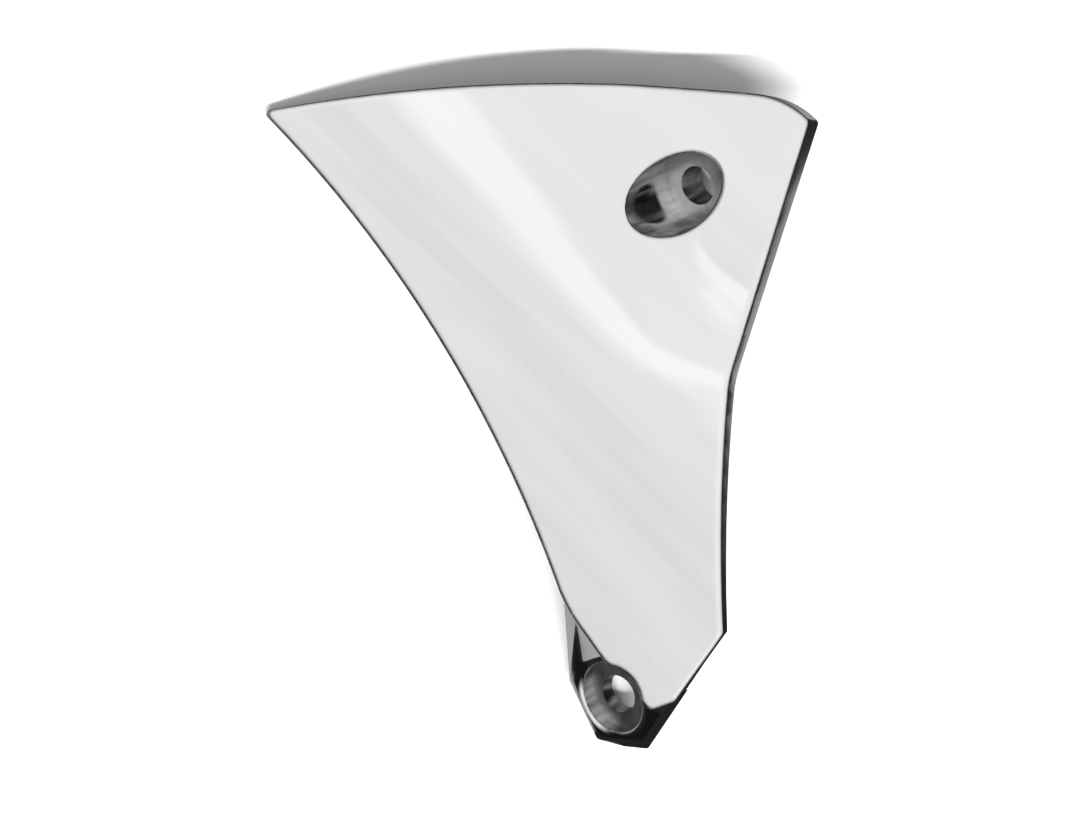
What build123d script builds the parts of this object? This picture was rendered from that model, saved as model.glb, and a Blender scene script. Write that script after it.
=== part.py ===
from build123d import *
import os
from math import cos, radians, sin, sqrt, tan

# A chrome-plated wheel spoke insert: one casting, lying face up on a bench.
# Millimetres. x runs to the right, y towards the rim end, z up off the bench.
# It rests on the blade's point, the low edge of the rim boss and the left edge of the toe.

# Screws: both go in the same slanting way
screw_tilt = 43.0
screw_heading = 25.0
screw_hole_diameter = 6.6
head_hole_diameter = 12.2
rim_seat_depth = 6.7
toe_seat_depth = 2.1
toe_lip_round = 0.7

# Face: a field that rises to the right and is bowed a little
face_rise = 0.225
bow_radius = 900.0
bow_heading = 60.0
bow_width = 75.0
face_round = 0.5

# Fold that sets off the field at the rim: sharp at the waist, soft at the rim
fold_slope = 0.15
fold_start_slope = 0.12
fold_end_slope = 1.25
fold_turn_at = 12.0
fold_turn_length = 6.0
fold_sharpest = 0.9
fold_spread = 0.17

# Side walls: how they lean and how thick the blade is
wall_lean = 25.0
wall_heading = 2.0
thin_edge = 2.0
corner_edge = 4.5

# Plan of the face, from the point round by the rim, the waist, the leg and the flank
point = (-45.6, 49.9)
rim_middle = (5.5, 53.7)
rim_end = (36.0, 51.8)
shoulder = (41.9, 50.0)
corner = (45.5, 47.1)
waist = (32.1, 4.6)
leg_middle = (30.9, -17.0)
leg_end = (31.2, -36.8)
leg_corner = (23.3, -48.1)
leg_lip = (19.2, -49.65)
flank_bottom = (11.2, -40.9)
flank_bend = (6.7, -34.6)
flank_top = (4.7, -31.0)
inner_middle = (-16.4, 12.9)
point_round = 0.9
corner_round = 1.0
bend_round = 20.0

# Boss of the rim screw
rim_hole = (23.4, 34.9)
boss_wall = 1.7

# Toe: a foot below the leg, with its top square to the screw
toe_hole = (13.25, -48.1)
toe_reach = 5.1
toe_floor = 2.5
toe_left_top = 5.2
toe_near = (8.6, -42.1)
toe_inside = (18.0, -42.0)
toe_shoulder = (22.6, -47.6)
toe_low = (11.6, -55.4)
toe_low_right = (18.2, -55.6)
toe_right = (22.0, -49.2)
toe_spread = (19.5, -56.9)
toe_corner_round = 0.8
leg_spread = (24.3, -48.4)
flank_tuck = 0.4
clearance_radius = 7.0
clearance_offset = 1.6
clearance_corner_round = 0.8

# Zone round the toe where the leg is solid, along and across the way of the screw
root_near = (-16.0, 22.0)
root_low = (-16.0, -25.0)
root_far_low = (45.0, -25.0)
root_far = (45.0, 12.0)

# Lengths that only have to pass through
sheet_left = -52.0
sheet_front = -64.0
sheet_step = 2.0
sheet_columns = 58
sheet_rows = 64
wall_length = 30.0
toe_past = 18.0
past = 60.0

tilt = radians(screw_tilt)
heading = radians(screw_heading)
lean = radians(wall_lean)
lean_heading = radians(wall_heading)
way_in = Vector(sin(tilt) * cos(heading), sin(tilt) * sin(heading), -cos(tilt))
up_slope = Vector(cos(tilt) * cos(heading), cos(tilt) * sin(heading), sin(tilt))
wall_way = Vector(sin(lean) * cos(lean_heading), sin(lean) * sin(lean_heading), -cos(lean))
toe_depth = toe_seat_depth + toe_floor
toe_height = toe_reach * tan(tilt) + toe_depth * cos(tilt)


def fold_line(back):
    """Height of the fold above the waist and its slope, a distance back from the waist."""
    gain = fold_end_slope - fold_start_slope
    reach = sqrt((back - fold_turn_at) ** 2 + fold_turn_length**2)
    start = sqrt(fold_turn_at**2 + fold_turn_length**2) - fold_turn_at
    height = fold_start_slope * back + gain * (back - fold_turn_at + reach - start) / 2
    slope = fold_start_slope + gain * (1 + (back - fold_turn_at) / reach) / 2
    return height, slope


def face_form(x, y):
    """Height of the face at a point of the plan, before the whole is set on the bench."""
    back = waist[0] - x
    height, slope = fold_line(back)
    across = (y - waist[1] - height) / sqrt(1 + slope**2)
    softness = sqrt(fold_sharpest**2 + (fold_spread * back) ** 2)
    drop = fold_slope * (across + sqrt(across**2 + softness**2)) / 2
    bow = radians(bow_heading)
    off = (x - point[0]) * sin(bow) + (y - point[1]) * cos(bow)
    return face_rise * (x - point[0]) + off * (bow_width - off) / (2 * bow_radius) - drop


def blade_depth(x, y):
    """Thickness of the blade, least along its left edge and most at its corner."""
    along = (y - leg_end[1]) / (corner[1] - leg_end[1])
    across = (x - point[0]) / (corner[0] - point[0])
    return thin_edge + (corner_edge - thin_edge) * along * across


def face_height(x, y):
    """Height of the face over the bench, which the blade's point touches from below."""
    return face_form(x, y) - set_down


def back_height(x, y):
    """Height of the blade's back over the bench."""
    return face_height(x, y) - blade_depth(x, y)


def on_face(plan):
    """The point of the face over a point of the plan."""
    return Vector(plan[0], plan[1], face_height(plan[0], plan[1]))


def on_toe(plan, depth=0.0):
    """The point over the plan on the toe's top, or on a plane some depth below it."""
    run = (plan[0] - toe_hole[0]) * cos(heading) + (plan[1] - toe_hole[1]) * sin(heading)
    return Vector(plan[0], plan[1], toe_height + run * tan(tilt) - depth / cos(tilt))


def toe_plan(run, off):
    """A point of the plan from its distances along and across the way of the screw."""
    x = toe_hole[0] + run * cos(heading) - off * sin(heading)
    y = toe_hole[1] + run * sin(heading) + off * cos(heading)
    return (x, y)


def drum(middle, radius, start, end):
    """A round bar along a screw axis, from one depth below a point to another."""
    plane = Plane(origin=middle + way_in * start, z_dir=way_in)
    return extrude(plane * Circle(radius), end - start)


def sheet(height):
    """A smooth surface over the whole plan, its height given by a function."""
    columns = [sheet_left + sheet_step * i for i in range(sheet_columns)]
    rows = [sheet_front + sheet_step * i for i in range(sheet_rows)]
    grid = [[(x, y, height(x, y)) for y in rows] for x in columns]
    return Face.make_surface_from_array_of_points(grid, tol=0.004, min_deg=3, max_deg=5)


def panel(corners):
    """A flat face with straight sides."""
    return make_face(Polyline(*corners, close=True))


def tucked(plan):
    """A corner of the flank, tucked a little under the face and inside its edge."""
    inside = (plan[0] + flank_tuck, plan[1] + flank_tuck / 2)
    return on_face(inside) + way_in * flank_tuck


# The plan of the face, with its corners and bends rounded
edge = [
    ThreePointArc(point, rim_middle, rim_end),
    ThreePointArc(rim_end, shoulder, corner),
    Line(corner, waist),
    ThreePointArc(waist, leg_middle, leg_end),
    Line(leg_end, leg_corner),
    Line(leg_corner, leg_lip),
    Line(leg_lip, flank_bottom),
    Line(flank_bottom, flank_bend),
    Line(flank_bend, flank_top),
    ThreePointArc(flank_top, inner_middle, point),
]
rounds = [(point, point_round)]
rounds += [(place, corner_round) for place in (corner, leg_end, leg_corner, leg_lip)]
rounds += [(place, bend_round) for place in (rim_end, waist, flank_bottom, flank_bend, flank_top)]
plan = make_face(edge)
for place, radius in rounds:
    plan = fillet(plan.vertices().sort_by_distance(place)[0], radius)

# The blade's point is set down on the bench
tip = plan.edges().sort_by_distance(point)[0] @ 0.5
tip_rise = face_rise * tan(lean) * cos(lean_heading)
set_down = face_form(tip.X, tip.Y) - blade_depth(tip.X, tip.Y) / (1 + tip_rise)

# The face, trimmed to its plan and drawn down the way the walls lean
cover = split(extrude(plan, past), bisect_by=sheet(face_height), keep=Keep.BOTTOM)
face = cover.faces().filter_by(GeomType.BSPLINE)[0]
column = Solid.extrude(face, wall_way * wall_length)

# The wall at the end of the leg is steeper than the others
leg_way = on_face(leg_corner) - on_face(leg_end)
leg_start = on_face(leg_end) + wall_way * (2 * face_round)
leg_fall = on_toe(leg_spread, toe_depth) - (leg_start + leg_way)
leg_wall = Plane(origin=leg_start, x_dir=leg_way, z_dir=leg_way.cross(leg_fall))
column = split(column, bisect_by=leg_wall, keep=Keep.BOTTOM)

# The space behind the blade, less the root of the toe and the boss of the rim screw
hole_mouth = on_face(rim_hole)
boss_radius = head_hole_diameter / 2 + boss_wall
boss_depth = (hole_mouth.Z - boss_radius * sin(tilt)) / cos(tilt)
root_plan = [root_near, root_low, root_far_low, root_far]
root_top = panel([on_toe(toe_plan(*p)) - way_in * wall_length for p in root_plan])
root = extrude(root_top, wall_length + toe_depth, dir=way_in)
space = Solid.extrude(sheet(back_height), Vector(0, 0, -past))
space = space - root - drum(hole_mouth, boss_radius, -wall_length, boss_depth)
body = column - space

# The toe, with a bottom and a right wall that spread towards its foot
toe_top = toe_plan(-toe_reach, toe_left_top)
toe_outline = [toe_top, toe_plan(-toe_reach, -toe_past), toe_plan(toe_past, -toe_past)]
toe_outline += [(toe_shoulder[0] + toe_past, toe_shoulder[1]), toe_shoulder, toe_inside]
toe_outline += [flank_bottom, toe_near]
toe = extrude(panel([on_toe(p) for p in toe_outline]), toe_depth, dir=way_in)
spread = on_toe(toe_spread, toe_depth)
for start, end in [(toe_low, toe_low_right), (toe_low_right, toe_right)]:
    along = on_toe(end) - on_toe(start)
    outward = along.cross(on_toe(toe_low_right) - spread)
    wall = Plane(origin=on_toe(start), x_dir=along, z_dir=outward)
    toe = split(toe, bisect_by=wall, keep=Keep.BOTTOM)
for place in (on_toe(toe_low_right) + spread) / 2, on_toe(toe_low) + way_in * (toe_depth / 2):
    toe = fillet(toe.edges().sort_by_distance(place)[0], toe_corner_round)
body = body + toe

# The flank: three facets that run from the edge of the leg into the toe
flank_facets = [
    (tucked(flank_bend), tucked(flank_bottom), on_toe(toe_near)),
    (tucked(flank_bend), on_toe(toe_near), on_toe(toe_top)),
    (tucked(flank_top), tucked(flank_bend), on_toe(toe_top)),
]
for corners in flank_facets:
    body = body + (extrude(panel(corners), wall_length, dir=way_in) & root)

# Room in the leg for the head of the toe screw
toe_middle = on_toe(toe_hole)
body -= drum(toe_middle + up_slope * clearance_offset, clearance_radius, -wall_length, 0)
recess_back = toe_middle + up_slope * (clearance_offset + clearance_radius)
recess = body.faces().filter_by(GeomType.CYLINDER).sort_by_distance(recess_back)[0]
recess_sides = recess.edges().filter_by(GeomType.BSPLINE).sort_by(Axis.Z)[:-1]
body = fillet(recess_sides, clearance_corner_round)

# Screw holes, stepped for the heads, and the rounded lip of the toe's step
body -= drum(toe_middle, head_hole_diameter / 2, -toe_lip_round, toe_seat_depth)
lip_top = toe_middle + up_slope * (head_hole_diameter / 2)
lip = body.edges().filter_by(GeomType.CIRCLE).sort_by_distance(lip_top)[0]
body = fillet(lip, toe_lip_round)
body -= drum(toe_middle, screw_hole_diameter / 2, 0, toe_depth + toe_past)
body -= drum(hole_mouth, head_hole_diameter / 2, -wall_length, rim_seat_depth)
body -= drum(hole_mouth, screw_hole_diameter / 2, 0, boss_depth + toe_past)

# Polishing has rounded the edge of the face and the mouth of the rim hole
top = body.faces().sort_by(SortBy.AREA)[-2:].sort_by(Axis.Z)[-1]
body = fillet(top.edges(), face_round)

spoke_insert = body.solids()[0]
box = spoke_insert.bounding_box()
set_on_bench = Vector(-box.center().X, -box.center().Y, -box.min.Z)
spoke_insert = Pos(*set_on_bench) * spoke_insert

os.makedirs("parts", exist_ok=True)
export_step(spoke_insert, "parts/spoke_insert.step")
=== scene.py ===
"""A chrome-plated wheel spoke insert, lying face up on a pale studio floor."""
import logging
from dataclasses import dataclass
from enum import Enum
from math import cos, pi, radians, sin, sqrt
from typing import Any

import bpy
from mathutils import Matrix, Vector


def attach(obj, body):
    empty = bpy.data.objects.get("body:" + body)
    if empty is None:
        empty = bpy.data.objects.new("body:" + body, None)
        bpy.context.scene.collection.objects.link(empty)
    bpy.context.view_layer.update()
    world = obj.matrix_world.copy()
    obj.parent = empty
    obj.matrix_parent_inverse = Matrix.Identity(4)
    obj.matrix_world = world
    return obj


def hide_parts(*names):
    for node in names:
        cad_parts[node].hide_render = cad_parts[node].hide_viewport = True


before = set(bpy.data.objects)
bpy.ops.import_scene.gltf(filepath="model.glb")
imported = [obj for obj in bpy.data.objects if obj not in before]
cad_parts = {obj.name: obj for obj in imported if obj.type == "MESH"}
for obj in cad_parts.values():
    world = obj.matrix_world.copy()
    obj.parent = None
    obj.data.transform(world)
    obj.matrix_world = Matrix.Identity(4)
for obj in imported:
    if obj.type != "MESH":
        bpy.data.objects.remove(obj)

Pair = tuple[float, float]
Triple = tuple[float, float, float]
Settings = dict[str, Any]
Inputs = dict[Any, Any]

LOG = logging.getLogger("spoke_insert")
MM = 0.001


class Zone(Enum):
    """The ways in which the casting's surface was finished."""

    POLISHED = 0
    BORED = 1
    AS_CAST = 2
    SEAT = 3
    SIDE = 4


class MixSocket(Enum):
    """The sockets of a Mix node that mixes colours."""

    SHARE = 0
    FIRST = 6
    SECOND = 7
    MIXED = 2


@dataclass(frozen=True)
class Value:
    """A number in a shader, with the operators that add Math nodes."""

    board: "Board"
    socket: bpy.types.NodeSocket

    def _math(self, operation: str, *terms: Any) -> "Value":
        """Add one Math node and return its result."""
        return self.board.value("ShaderNodeMath", {"operation": operation}, dict(enumerate(terms)))

    def __add__(self, other: Any) -> "Value":
        """This value plus another."""
        return self._math("ADD", self, other)

    def __radd__(self, other: Any) -> "Value":
        """Another value plus this one."""
        return self._math("ADD", other, self)

    def __sub__(self, other: Any) -> "Value":
        """This value less another."""
        return self._math("SUBTRACT", self, other)

    def __rsub__(self, other: Any) -> "Value":
        """Another value less this one."""
        return self._math("SUBTRACT", other, self)

    def __mul__(self, other: Any) -> "Value":
        """This value times another."""
        return self._math("MULTIPLY", self, other)

    def __rmul__(self, other: Any) -> "Value":
        """Another value times this one."""
        return self._math("MULTIPLY", other, self)

    def sine(self) -> "Value":
        """The sine of this value."""
        return self._math("SINE", self)

    def between(self, low: float, high: float) -> "Value":
        """A smooth step, from 0 at one value to 1 at another.

        Args:
            low: The value that gives 0.
            high: The value that gives 1.

        Returns:
            The stepped value.
        """
        settings = {"interpolation_type": "SMOOTHSTEP"}
        inputs = {"Value": self, "From Min": low, "From Max": high}
        return self.board.value("ShaderNodeMapRange", settings, inputs)


class Board:
    """A node tree that is filled node by node."""

    def __init__(self, tree: bpy.types.NodeTree) -> None:
        """Empty the tree and keep it.

        Args:
            tree: The tree of a material or a world.
        """
        self.tree = tree
        self.tree.nodes.clear()

    def node(self, kind: str, settings: Settings, inputs: Inputs) -> bpy.types.Node:
        """Add a node, set it, and fill or link its sockets.

        Args:
            kind: The node's type.
            settings: The node's own properties, which are set first.
            inputs: Numbers, colours, sockets or Values, by socket.

        Returns:
            The new node.
        """
        made = self.tree.nodes.new(kind)
        for name, setting in settings.items():
            setattr(made, name, setting)
        for name, given in inputs.items():
            plug = given.socket if isinstance(given, Value) else given
            if isinstance(plug, bpy.types.NodeSocket):
                self.tree.links.new(plug, made.inputs[name])
            else:
                made.inputs[name].default_value = plug
        return made

    def value(self, kind: str, settings: Settings, inputs: Inputs, out: Any = 0) -> Value:
        """Add a node and wrap one of its results.

        Args:
            kind: The node's type.
            settings: The node's own properties.
            inputs: What its sockets get.
            out: The result to wrap.

        Returns:
            The wrapped result.
        """
        return Value(self, self.node(kind, settings, inputs).outputs[out])

    def place(self) -> bpy.types.NodeSocket:
        """The coordinates of a point on its piece."""
        return self.node("ShaderNodeTexCoord", {}, {}).outputs["Object"]

    def noise(self, place: bpy.types.NodeSocket, size: float, detail: float = 2.0) -> Value:
        """Add a noise of a given grain.

        Args:
            place: The coordinates that it reads.
            size: The size of one lump, in the unit of the coordinates.
            detail: How many finer layers it has.

        Returns:
            The noise, from 0 to 1.
        """
        inputs = {"Vector": place, "Scale": 1.0 / size, "Detail": detail}
        return self.value("ShaderNodeTexNoise", {}, inputs)

    def blend(self, share: Value, first: Triple, second: Triple) -> bpy.types.NodeSocket:
        """Mix two colours.

        Args:
            share: How much of the second colour shows.
            first: The colour where the share is 0.
            second: The colour where the share is 1.

        Returns:
            The mixed colour.
        """
        inputs = {
            MixSocket.SHARE.value: share,
            MixSocket.FIRST.value: (*first, 1.0),
            MixSocket.SECOND.value: (*second, 1.0),
        }
        mix = self.node("ShaderNodeMix", {"data_type": "RGBA"}, inputs)
        return mix.outputs[MixSocket.MIXED.value]

    def cover(self, inputs: Inputs) -> None:
        """Put a Principled shader on the surface.

        Args:
            inputs: What the shader's sockets get.
        """
        shader = self.node("ShaderNodeBsdfPrincipled", {}, inputs)
        self.node("ShaderNodeOutputMaterial", {}, {"Surface": shader.outputs[0]})


@dataclass(frozen=True)
class ChromeFinish:
    """Chrome plate over a surface that was polished, bored or left as cast, in metres and radians."""

    name: str
    bright: Triple
    dull: Triple
    roughness: float
    haze: float
    cloud_size: float
    streak_turn: float
    streak_width: float
    streak_length: float
    ripple_height: float
    grain_height: float
    grain_size: float
    ring_height: float = 0.0
    ring_pitch: float = 0.001
    ring_axis: Triple = (0.0, 0.0, 1.0)
    edge_radius: float = 0.0
    cloud_edges: Pair = (0.35, 0.65)
    streak_edges: Pair = (0.3, 0.7)
    streak_share: float = 0.6
    streak_detail: float = 3.0
    ripple_detail: float = 1.0
    grain_detail: float = 4.0
    wander_rings: float = 12.0
    wander_phase: float = 3.0
    edge_samples: int = 8

    def build(self) -> bpy.types.Material:
        """Make the material.

        Returns:
            The material, with its nodes in place.
        """
        made = bpy.data.materials.new(self.name)
        made.use_nodes = True
        board = Board(made.node_tree)
        place = board.place()
        drawn = self._drawn(board, place)
        cloud = board.noise(place, self.cloud_size).between(*self.cloud_edges)
        streak = board.noise(drawn, 1.0, self.streak_detail).between(*self.streak_edges)
        # In the bored holes this share spreads painted shade in clouds and streaks; on the other
        # finishes it is random tone.
        share = cloud * (1.0 - self.streak_share) + streak * self.streak_share
        board.cover({
            "Base Color": board.blend(share, self.bright, self.dull),
            "Roughness": cloud * self.haze + self.roughness,
            "Metallic": 1.0,
            "Normal": self._relief(board, place, drawn),
        })
        return made

    def _drawn(self, board: Board, place: bpy.types.NodeSocket) -> bpy.types.NodeSocket:
        """Coordinates drawn out along the streaks that the polishing wheel left, which in the bored
        holes carry painted shade.

        Args:
            board: The material's nodes.
            place: The coordinates to read.

        Returns:
            The drawn-out coordinates, in streaks.
        """
        inputs = {"Vector": place, "Rotation": (0.0, 0.0, self.streak_turn)}
        turned = board.node("ShaderNodeMapping", {}, inputs).outputs[0]
        stretch = (1.0 / self.streak_length, 1.0 / self.streak_width, 1.0 / self.streak_length)
        return board.node("ShaderNodeMapping", {}, {"Vector": turned, "Scale": stretch}).outputs[0]

    def _relief(
        self, board: Board, place: bpy.types.NodeSocket, drawn: bpy.types.NodeSocket
    ) -> bpy.types.NodeSocket:
        """The fine relief of the plate: ripples, grain, rings and softened edges.

        Args:
            board: The material's nodes.
            place: The coordinates of the piece.
            drawn: The coordinates drawn out along the streaks.

        Returns:
            The normal of the surface.
        """
        ripple = board.noise(drawn, 1.0, self.ripple_detail) * self.ripple_height
        height = ripple + board.noise(place, self.grain_size, self.grain_detail) * self.grain_height
        if self.ring_height:
            height = height + self._rings(board, place)
        inputs = {"Strength": 1.0, "Distance": 1.0, "Height": height}
        if self.edge_radius:
            settings = {"samples": self.edge_samples}
            rounded = board.node("ShaderNodeBevel", settings, {"Radius": self.edge_radius})
            inputs["Normal"] = rounded.outputs[0]
        return board.node("ShaderNodeBump", {}, inputs).outputs[0]

    def _rings(self, board: Board, place: bpy.types.NodeSocket) -> Value:
        """Fine rings that the boring tool left along the screw's axis.

        Args:
            board: The material's nodes.
            place: The coordinates to read.

        Returns:
            The height of the rings, in metres.
        """
        inputs = {0: place, 1: self.ring_axis}
        depth = board.value("ShaderNodeVectorMath", {"operation": "DOT_PRODUCT"}, inputs, "Value")
        wander = board.noise(place, self.wander_rings * self.ring_pitch) * self.wander_phase
        return (depth * (2 * pi / self.ring_pitch) + wander).sine() * (self.ring_height / 2)


@dataclass(frozen=True)
class FaceForm:
    """The folded face of the blade, in millimetres of its own plan, and where that plan lies."""

    point: Pair = (-45.6, 49.9)
    waist: Pair = (32.1, 4.6)
    rise: float = 0.225
    bow_radius: float = 900.0
    bow_heading: float = 60.0
    bow_width: float = 75.0
    fold_slope: float = 0.15
    fold_start_slope: float = 0.12
    fold_end_slope: float = 1.25
    fold_turn_at: float = 12.0
    fold_turn_length: float = 6.0
    fold_sharpest: float = 0.9
    fold_spread: float = 0.17
    plan_shift: Pair = (-1.454214, 1.558412)
    lift: float = 1.850786
    probe: float = 0.02

    def height(self, x: float, y: float) -> float:
        """Height of the face over the bench.

        Args:
            x: Place across the bench, in millimetres.
            y: Place along the bench, in millimetres.

        Returns:
            The height, in millimetres.
        """
        x -= self.plan_shift[0]
        y -= self.plan_shift[1]
        across, softness = self._from_fold(x, y)
        drop = self.fold_slope * (across + sqrt(across**2 + softness**2)) / 2
        bow = radians(self.bow_heading)
        off = (x - self.point[0]) * sin(bow) + (y - self.point[1]) * cos(bow)
        bowed = off * (self.bow_width - off) / (2 * self.bow_radius)
        return self.rise * (x - self.point[0]) + bowed - drop + self.lift

    def _from_fold(self, x: float, y: float) -> Pair:
        """Distance from the fold's bent path, and how soft the fold is there.

        Args:
            x: Place across the plan, in millimetres.
            y: Place along the plan, in millimetres.

        Returns:
            The distance and the softness, in millimetres.
        """
        back = self.waist[0] - x
        gain = self.fold_end_slope - self.fold_start_slope
        reach = sqrt((back - self.fold_turn_at) ** 2 + self.fold_turn_length**2)
        start = sqrt(self.fold_turn_at**2 + self.fold_turn_length**2) - self.fold_turn_at
        path = self.fold_start_slope * back + gain * (back - self.fold_turn_at + reach - start) / 2
        slope = self.fold_start_slope + gain * (1 + (back - self.fold_turn_at) / reach) / 2
        across = (y - self.waist[1] - path) / sqrt(1 + slope**2)
        return across, sqrt(self.fold_sharpest**2 + (self.fold_spread * back) ** 2)

    def normal(self, x: float, y: float) -> Vector:
        """The way the face looks at a place.

        Args:
            x: Place across the bench, in millimetres.
            y: Place along the bench, in millimetres.

        Returns:
            The unit normal, pointing up.
        """
        step = self.probe
        along = (self.height(x + step, y) - self.height(x - step, y)) / (2 * step)
        up = (self.height(x, y + step) - self.height(x, y - step)) / (2 * step)
        return Vector((-along, -up, 1.0)).normalized()


@dataclass
class Casting:
    """The insert itself: one casting with a folded face, a rim boss and a toe, in millimetres."""

    name: str = "spoke_insert_casting"
    node: str = "spoke_insert"
    face: FaceForm = FaceForm()
    face_fit: float = 0.035
    face_tilt: float = 0.995
    face_cuts: int = 2
    weld: float = 0.002
    sharp_angle: float = 32.0
    screw_tilt: float = 43.0
    screw_heading: float = 25.0
    rim_hole: Triple = (23.4, 34.9, 14.132)
    toe_hole: Triple = (13.25, -48.1, 8.12)
    head_radius: float = 6.1
    boss_radius: float = 7.8
    boss_length: float = 12.05
    slack: float = 0.12
    # How squarely a hole's wall, a screw's seat and the boss's skin face the screw's axis.
    wall_facing: float = 0.3
    seat_facing: float = 0.9
    skin_facing: float = 0.1
    seat_depth: float = 0.5
    # How far the back and the sides are turned away from straight up.
    back_turn: float = -0.5
    side_turn: float = 0.7

    def build(self) -> bpy.types.Object:
        """Make the casting.

        Returns:
            The finished piece.
        """
        piece = self._copy()
        self._weld()
        self._refine(piece.data)
        self._mark_zones(piece.data)
        self._smooth(piece)
        self._set_true_normals(piece.data)
        return piece

    def _copy(self) -> bpy.types.Object:
        """Take a free copy of the solid's mesh.

        Returns:
            The copy, selected and active.
        """
        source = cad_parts[self.node]
        piece = bpy.data.objects.new(self.name, source.data.copy())
        piece.data.name = self.name
        piece.data.materials.clear()
        bpy.context.scene.collection.objects.link(piece)
        bpy.ops.object.select_all(action="DESELECT")
        piece.select_set(True)
        bpy.context.view_layer.objects.active = piece
        return piece

    def _weld(self) -> None:
        """Join the loose triangles of the active piece into one closed skin."""
        if bpy.context.active_object.data.has_custom_normals:
            bpy.ops.mesh.customdata_custom_splitnormals_clear()
        bpy.ops.object.mode_set(mode="EDIT")
        bpy.ops.mesh.select_all(action="SELECT")
        bpy.ops.mesh.remove_doubles(threshold=self.weld * MM)
        bpy.ops.mesh.normals_make_consistent(inside=False)
        bpy.ops.object.mode_set(mode="OBJECT")

    def _on_face(self, spot: Vector) -> bool:
        """Whether a point, in metres, lies on the face."""
        x, y, z = spot / MM
        return abs(self.face.height(x, y) - z) < self.face_fit

    def _face_polygons(self, mesh: bpy.types.Mesh) -> list[bool]:
        """Which polygons belong to the face.

        Args:
            mesh: The casting's mesh.

        Returns:
            True for each polygon of the face.
        """
        near = [self._on_face(vertex.co) for vertex in mesh.vertices]
        held = []
        for polygon in mesh.polygons:
            inside = all(near[index] for index in polygon.vertices)
            if inside:
                x, y, _ = polygon.center / MM
                inside = polygon.normal.dot(self.face.normal(x, y)) > self.face_tilt
            held.append(inside)
        return held

    def _refine(self, mesh: bpy.types.Mesh) -> None:
        """Divide the face finely and lay its new points on the true form.

        Args:
            mesh: The casting's mesh.
        """
        bpy.ops.object.mode_set(mode="EDIT")
        bpy.ops.mesh.select_all(action="DESELECT")
        bpy.ops.mesh.select_mode(type="FACE")
        bpy.ops.object.mode_set(mode="OBJECT")
        mesh.polygons.foreach_set("select", self._face_polygons(mesh))
        bpy.ops.object.mode_set(mode="EDIT")
        bpy.ops.mesh.subdivide(number_cuts=self.face_cuts)
        bpy.ops.mesh.select_all(action="SELECT")
        bpy.ops.mesh.quads_convert_to_tris()
        bpy.ops.object.mode_set(mode="OBJECT")
        for index in self._face_points(mesh, self._face_polygons(mesh)):
            spot = mesh.vertices[index].co
            spot.z = self.face.height(spot.x / MM, spot.y / MM) * MM

    def _face_points(self, mesh: bpy.types.Mesh, held: list[bool]) -> set[int]:
        """The points of the face's polygons.

        Args:
            mesh: The casting's mesh.
            held: True for each polygon of the face.

        Returns:
            The indices of the points.
        """
        return {i for polygon, inside in zip(mesh.polygons, held) if inside for i in polygon.vertices}

    def way_in(self) -> Vector:
        """The way both screws go in."""
        tilt, heading = radians(self.screw_tilt), radians(self.screw_heading)
        return Vector((sin(tilt) * cos(heading), sin(tilt) * sin(heading), -cos(tilt)))

    def _from_axis(self, spot: Vector, hole: Triple) -> Pair:
        """Depth along a screw's axis and distance from it.

        Args:
            spot: The point, in metres.
            hole: The mouth of the hole on its axis, in the plan's millimetres.

        Returns:
            The depth and the distance, in millimetres.
        """
        mouth = Vector(hole) + Vector((*self.face.plan_shift, 0.0))
        away = spot / MM - mouth
        depth = away.dot(self.way_in())
        return depth, (away - self.way_in() * depth).length

    def _zone(self, spot: Vector, normal: Vector) -> Zone:
        """How a bit of the surface was finished.

        Args:
            spot: Its middle, in metres.
            normal: The way it looks.

        Returns:
            Its zone.
        """
        facing = abs(normal.dot(self.way_in()))
        for hole in (self.rim_hole, self.toe_hole):
            depth, distance = self._from_axis(spot, hole)
            in_reach = -self.boss_radius < depth < self.boss_length - self.slack
            if in_reach and distance < self.head_radius + self.slack:
                if facing < self.wall_facing:
                    return Zone.BORED
                if facing > self.seat_facing and depth > self.seat_depth:
                    return Zone.SEAT
        _, distance = self._from_axis(spot, self.rim_hole)
        on_boss = abs(distance - self.boss_radius) < self.slack and facing < self.skin_facing
        if on_boss or normal.z < self.back_turn:
            return Zone.AS_CAST
        return Zone.SIDE if normal.z < self.side_turn else Zone.POLISHED

    def _mark_zones(self, mesh: bpy.types.Mesh) -> None:
        """Give each polygon the finish of its zone.

        Args:
            mesh: The casting's mesh.
        """
        for polygon in mesh.polygons:
            polygon.material_index = self._zone(polygon.center, polygon.normal).value

    def _smooth(self, piece: bpy.types.Object) -> None:
        """Shade the casting smooth between its sharp edges, led by its larger faces.

        Args:
            piece: The casting, selected and active.
        """
        bpy.ops.object.shade_smooth_by_angle(angle=radians(self.sharp_angle))
        bpy.ops.object.modifier_add(type="WEIGHTED_NORMAL")
        weighted = piece.modifiers[-1]
        weighted.keep_sharp = True
        bpy.ops.object.modifier_apply(modifier=weighted.name)

    def _set_true_normals(self, mesh: bpy.types.Mesh) -> None:
        """Give the face, and what runs into it smoothly, the normals of the true form.

        Args:
            mesh: The casting's mesh.
        """
        normals = [Vector(corner.vector) for corner in mesh.corner_normals]
        held = self._face_polygons(mesh)
        points = self._face_points(mesh, held)
        smooth = cos(radians(self.sharp_angle))
        for polygon, inside in zip(mesh.polygons, held):
            for corner in polygon.loop_indices:
                index = mesh.loops[corner].vertex_index
                if index not in points:
                    continue
                x, y, _ = mesh.vertices[index].co / MM
                true = self.face.normal(x, y)
                if inside or normals[corner].dot(true) > smooth:
                    normals[corner] = true
        mesh.normals_split_custom_set(normals)

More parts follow.
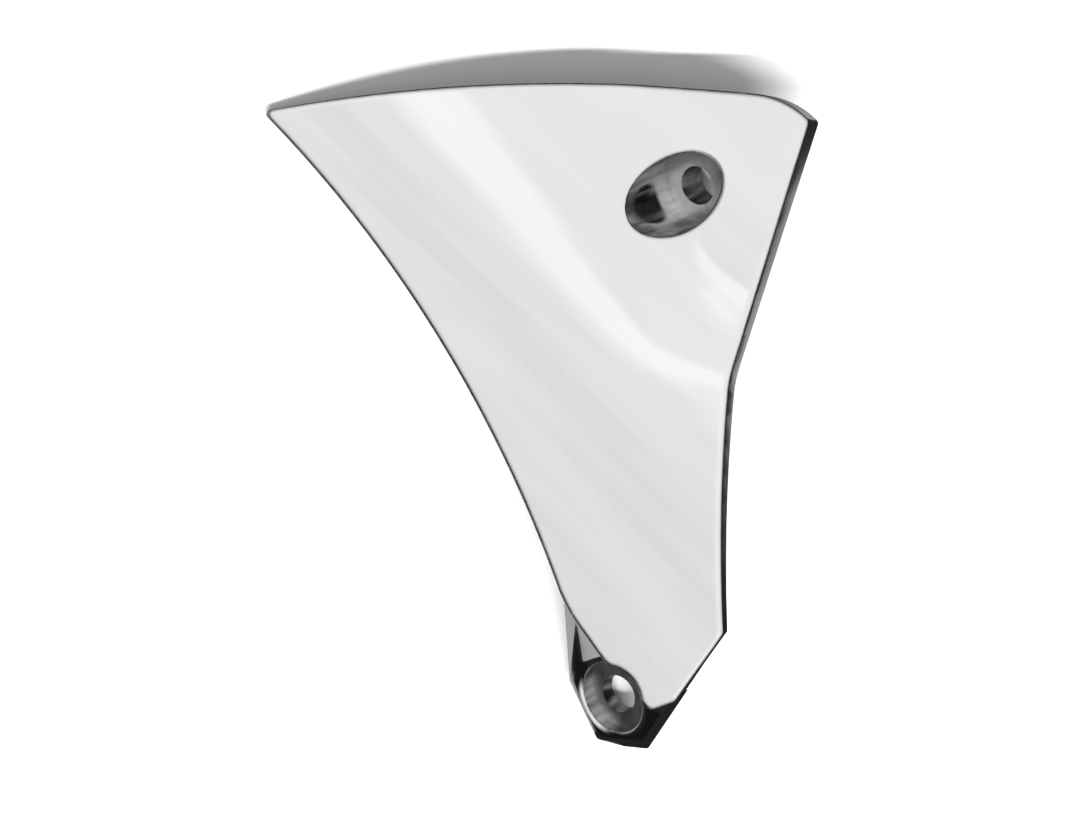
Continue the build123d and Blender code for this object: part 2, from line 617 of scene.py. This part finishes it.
    def dress(self, piece: bpy.types.Object, finishes: dict[Zone, ChromeFinish]) -> None:
        """Put the finishes on, and set the casting in its place in the frame.

        Args:
            piece: The casting.
            finishes: The finish of each zone.
        """
        for zone in Zone:
            piece.data.materials.append(finishes[zone].build())
        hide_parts(self.node)
        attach(piece, "root")


@dataclass(frozen=True)
class Paper:
    """Studio paper with a faint grain, in metres."""

    name: str
    shade: float
    fleck: float = 0.015
    grain_size: float = 0.02
    roughness: float = 0.9
    gloss: float = 0.1

    def build(self) -> bpy.types.Material:
        """Make the material.

        Returns:
            The material, with its nodes in place.
        """
        made = bpy.data.materials.new(self.name)
        made.use_nodes = True
        board = Board(made.node_tree)
        grain = board.noise(board.place(), self.grain_size)
        board.cover({
            "Base Color": board.blend(grain, (self.shade,) * 3, (self.shade + self.fleck,) * 3),
            "Roughness": self.roughness,
            "Specular IOR Level": self.gloss,
        })
        return made


@dataclass(frozen=True)
class Tent:
    """A soft tent of light overhead, laid out by the unit vectors that lead to its parts."""

    name: str = "studio_tent"
    light: float = 0.825
    gloom: float = 0.008
    full_height: Pair = (0.35, 0.78)
    # A bright panel, which falls to a lesser light on its far side.
    panel_way: Pair = (0.79, 0.61)
    panel_start: Pair = (-0.34, -0.25)
    panel_fall: Pair = (-0.14, -0.07)
    panel_loss: float = 0.64
    panel_light: float = 0.20
    # Faint folds in the cloth before the panel.
    fold_rate: float = 110.0
    fold_phase: float = 0.55
    fold_end: Pair = (-0.34, -0.28)
    fold_light: float = 0.03
    # A narrow slanted panel with a shaded far side, mirrored between the rim hole and the waist.
    slant: float = 0.286
    slant_side: Pair = (-0.26, -0.235)
    slant_start: Pair = (0.402, 0.4095)
    slant_end: Pair = (0.416, 0.420)
    slant_light: float = 0.15
    shade_end: Pair = (0.422, 0.436)
    shade_loss: float = 0.07

    def build(self) -> bpy.types.World:
        """Make the world that holds the tent.

        Returns:
            The world, with its nodes in place.
        """
        world = bpy.data.worlds.new(self.name)
        world.use_nodes = True
        board = Board(world.node_tree)
        way = board.node("ShaderNodeTexCoord", {}, {}).outputs["Generated"]
        split = board.node("ShaderNodeSeparateXYZ", {}, {"Vector": way})
        x, y, z = (Value(board, socket) for socket in split.outputs)
        light = self._wide_panel(x, y) + self._slanted_panel(x, y) + self.light
        strength = z.between(*self.full_height) * light + self.gloom
        inputs = {"Color": (1.0, 1.0, 1.0, 1.0), "Strength": strength}
        back = board.node("ShaderNodeBackground", {}, inputs)
        board.node("ShaderNodeOutputWorld", {}, {"Surface": back.outputs[0]})
        return world

    def _wide_panel(self, x: Value, y: Value) -> Value:
        """The light that the wide panel and the folds before it add.

        Args:
            x: The vector's part to the right.
            y: The vector's part towards the rim.

        Returns:
            The added light.
        """
        along = x * self.panel_way[0] + y * self.panel_way[1]
        panel = along.between(*self.panel_start) - along.between(*self.panel_fall) * self.panel_loss
        folds = (along * self.fold_rate + self.fold_phase).sine() * (1.0 - along.between(*self.fold_end))
        return panel * self.panel_light + folds * self.fold_light

    def _slanted_panel(self, x: Value, y: Value) -> Value:
        """The light that the slanted panel adds, and its far side takes away.

        Args:
            x: The vector's part to the right.
            y: The vector's part towards the rim.

        Returns:
            The added light.
        """
        across = y - x * self.slant
        end = across.between(*self.slant_end)
        panel = across.between(*self.slant_start) - end
        shade = end - across.between(*self.shade_end)
        side = 1.0 - x.between(*self.slant_side)
        return (panel * self.slant_light - shade * self.shade_loss) * side


@dataclass
class Studio:
    """The pale floor, the soft light and the camera overhead, in metres."""

    tent: Tent = Tent()
    floor_paper: Paper = Paper("studio_paper", 0.58)
    floor_corners: int = 96
    floor_radius: float = 2.6
    floor_rise: float = 1.2
    sweep_steps: tuple[float, ...] = (0.04, 0.12, 0.28, 0.56)
    sweep_growth: float = 1.14
    sweep_steepening: float = 0.2
    dim_paper: Paper = Paper("dim_paper", 0.004, 0.002)
    dim_corners: int = 64
    dim_lift: float = 0.0001
    pad_paper: Paper = Paper("pad_paper", 0.13)
    pad_lift: float = 0.0002
    # The corners of the pad, in millimetres on the bench.
    pad: tuple[Pair, ...] = (
        (-30, 10), (-22, -30), (-20, -50), (9, -55), (18, -55.5), (33, -35), (46, -32),
        (51, 6), (56, 34), (55, 50), (48, 68), (0, 72), (-66, 58),
    )
    key_way: Triple = (0.24, -0.57, 1.0)
    key_distance: float = 1.3
    key_length: float = 1.5
    key_width: float = 0.09
    key_power: float = 54.0
    camera_height: float = 0.61
    aim_height: float = 0.01
    view_height: float = 0.138
    photo_size: tuple[int, int] = (1080, 835)
    # The width of the camera's sensor, in millimetres.
    sensor: float = 36.0

    def build(self) -> None:
        """Set up the floor, the light and the camera."""
        self._floor()
        self._mirrored_floor()
        self._key()
        self._camera()
        scene = bpy.context.scene
        scene.world = self.tent.build()
        scene.view_settings.view_transform = "Standard"
        scene.view_settings.look = "None"

    def _disc(self, name: str, corners: int, radius: float, lift: float) -> bpy.types.Object:
        """A flat sheet on the floor.

        Args:
            name: Its name.
            corners: How many corners it has.
            radius: Its radius.
            lift: How far it lies above the bench.

        Returns:
            The sheet, selected and active.
        """
        bpy.ops.object.select_all(action="DESELECT")
        bpy.ops.mesh.primitive_circle_add(
            vertices=corners, radius=radius, fill_type="NGON", location=(0.0, 0.0, lift)
        )
        bpy.ops.object.transform_apply(location=True)
        made = bpy.context.active_object
        made.name = name
        return made

    def _floor(self) -> None:
        """A pale floor that sweeps up all round. The chrome mirrors other sheets in its place."""
        floor = self._disc("studio_floor", self.floor_corners, self.floor_radius, 0.0)
        bpy.ops.object.mode_set(mode="EDIT")
        bpy.ops.mesh.select_mode(type="EDGE")
        bpy.ops.mesh.select_all(action="SELECT")
        for share in self.sweep_steps:
            lift = (0.0, 0.0, self.floor_rise * share)
            growth = self.sweep_growth - self.sweep_steepening * share
            bpy.ops.mesh.extrude_edges_move(TRANSFORM_OT_translate={"value": lift})
            bpy.ops.transform.resize(value=(growth, growth, 1.0))
        bpy.ops.object.mode_set(mode="OBJECT")
        bpy.ops.object.shade_smooth()
        floor.data.materials.append(self.floor_paper.build())
        floor.visible_glossy = False

    def _mirrored_floor(self) -> None:
        """What the chrome mirrors below the horizon: a pale pad on a dim floor."""
        dim = self._disc("dim_floor", self.dim_corners, self.floor_radius, self.dim_lift)
        dim.data.materials.append(self.dim_paper.build())
        pad = self._disc("pale_pad", len(self.pad), 1.0, self.pad_lift)
        for vertex, (x, y) in zip(pad.data.vertices, self.pad):
            vertex.co = (x * MM, y * MM, vertex.co.z)
        pad.data.materials.append(self.pad_paper.build())
        for sheet in (dim, pad):
            sheet.visible_camera = False
            sheet.visible_diffuse = False
            sheet.visible_shadow = False

    def _key(self) -> None:
        """A long soft lamp in front, on the right, with its length along the rim."""
        behind = Vector(self.key_way).normalized()
        side = Vector((1.0, 0.0, 0.0))
        side = (side - behind * side.dot(behind)).normalized()
        lamp = bpy.data.lights.new("key_lamp", "AREA")
        lamp.shape = "RECTANGLE"
        lamp.size = self.key_length
        lamp.size_y = self.key_width
        lamp.energy = self.key_power
        key = bpy.data.objects.new("key_lamp", lamp)
        key.rotation_euler = Matrix((side, behind.cross(side), behind)).transposed().to_euler()
        key.location = behind * self.key_distance
        key.visible_glossy = False
        bpy.context.scene.collection.objects.link(key)

    def _camera(self) -> None:
        """A camera straight overhead, with the rim end at the top of the picture."""
        lens = bpy.data.cameras.new("overhead_camera")
        lens.sensor_fit = "HORIZONTAL"
        lens.sensor_width = self.sensor
        view_width = self.view_height * self.photo_size[0] / self.photo_size[1]
        lens.lens = self.sensor * (self.camera_height - self.aim_height) / view_width
        camera = bpy.data.objects.new("overhead_camera", lens)
        camera.location = (0.0, 0.0, self.camera_height)
        bpy.context.scene.collection.objects.link(camera)
        bpy.context.scene.camera = camera


def polished_chrome() -> ChromeFinish:
    """The mirror finish of the face, with its edges softened by the polishing wheel.

    Returns:
        The finish.
    """
    return ChromeFinish(
        name="polished_chrome",
        bright=(0.90, 0.905, 0.91),
        dull=(0.86, 0.865, 0.872),
        roughness=0.035,
        haze=0.02,
        cloud_size=0.03,
        streak_turn=radians(42.0),
        streak_width=0.006,
        streak_length=0.09,
        ripple_height=5.0e-5,
        grain_height=2.0e-7,
        grain_size=0.0008,
        edge_radius=0.0015,
    )


def bored_chrome_painted_shade(axis: Triple) -> ChromeFinish:
    """The ringed finish of the bored holes, with painted shade: a dark base colour in clouds and
    streaks.

    Args:
        axis: The way the screws go in.

    Returns:
        The finish.
    """
    return ChromeFinish(
        name="bored_chrome_painted_shade",
        # Painted shade: the base colour of the holes is dark, down to 0.13 in the streaks and clouds.
        bright=(0.66, 0.66, 0.66),
        dull=(0.13, 0.13, 0.133),
        roughness=0.06,
        haze=0.05,
        cloud_size=0.005,
        streak_turn=radians(-25.0),
        streak_width=0.0014,
        streak_length=0.012,
        ripple_height=3.0e-5,
        grain_height=1.5e-6,
        grain_size=0.0004,
        ring_height=3.0e-6,
        ring_pitch=0.0004,
        ring_axis=axis,
    )


def as_cast_chrome() -> ChromeFinish:
    """The dull, grainy finish of the back and the boss.

    Returns:
        The finish.
    """
    return ChromeFinish(
        name="as_cast_chrome",
        bright=(0.70, 0.70, 0.70),
        dull=(0.52, 0.52, 0.53),
        roughness=0.24,
        haze=0.14,
        cloud_size=0.014,
        streak_turn=radians(-40.0),
        streak_width=0.009,
        streak_length=0.04,
        ripple_height=6.0e-5,
        grain_height=2.4e-5,
        grain_size=0.0009,
    )


def faced_chrome() -> ChromeFinish:
    """The fine, matt finish of the seats under the screw heads.

    Returns:
        The finish.
    """
    return ChromeFinish(
        name="faced_chrome",
        bright=(0.86, 0.86, 0.86),
        dull=(0.66, 0.66, 0.665),
        roughness=0.30,
        haze=0.10,
        cloud_size=0.003,
        streak_turn=radians(65.0),
        streak_width=0.0010,
        streak_length=0.006,
        ripple_height=1.0e-5,
        grain_height=3.0e-6,
        grain_size=0.0003,
    )


def buffed_side_chrome() -> ChromeFinish:
    """The buffed finish of the side walls and the toe.

    Returns:
        The finish.
    """
    return ChromeFinish(
        name="buffed_side_chrome",
        bright=(0.90, 0.905, 0.91),
        dull=(0.84, 0.845, 0.852),
        roughness=0.12,
        haze=0.04,
        cloud_size=0.012,
        streak_turn=radians(-65.0),
        streak_width=0.004,
        streak_length=0.05,
        ripple_height=6.0e-6,
        grain_height=4.0e-7,
        grain_size=0.0008,
    )


def zone_finishes(way_in: Vector) -> dict[Zone, ChromeFinish]:
    """The casting's finishes, zone by zone.

    Args:
        way_in: The way the screws go in.

    Returns:
        One finish for each zone.
    """
    return {
        Zone.POLISHED: polished_chrome(),
        Zone.BORED: bored_chrome_painted_shade(tuple(way_in)),
        Zone.AS_CAST: as_cast_chrome(),
        Zone.SEAT: faced_chrome(),
        Zone.SIDE: buffed_side_chrome(),
    }


def main() -> None:
    """Build the insert and its studio."""
    logging.basicConfig(level=logging.INFO)
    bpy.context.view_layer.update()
    casting = Casting()
    piece = casting.build()
    casting.dress(piece, zone_finishes(casting.way_in()))
    LOG.info("%s: %d polygons", piece.name, len(piece.data.polygons))
    Studio().build()
    LOG.info("studio set up")


if __name__ == "__main__":
    main()
